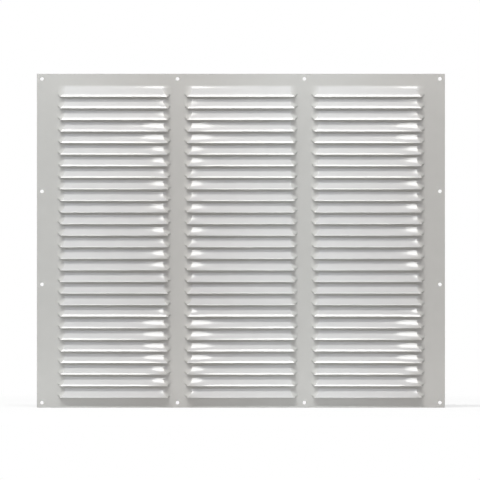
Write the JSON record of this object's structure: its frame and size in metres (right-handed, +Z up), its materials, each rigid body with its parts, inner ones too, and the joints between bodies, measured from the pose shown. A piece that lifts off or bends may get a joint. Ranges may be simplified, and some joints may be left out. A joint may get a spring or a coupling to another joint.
{
  "type": "ventilation grille",
  "caption": "Flat rectangular ventilation grille pressed from painted sheet metal, with columns of downward-opening louvres and screw holes along its border.",
  "frame": {"origin": "middle of the sheet's flat back face, which is the middle of the corner screw holes", "axes": "+Z up the grille, +X along the louvres, -Y out of the front, so the louvres face -Y and the back face lies on y = 0"},
  "size_m": [0.55, 0.0072, 0.45],
  "materials": {
    "grey_paint": "semi-gloss light grey paint"
  },
  "bodies": {
    "root": {"louvre_panel": "grey_paint"}
  },
  "joints": []
}
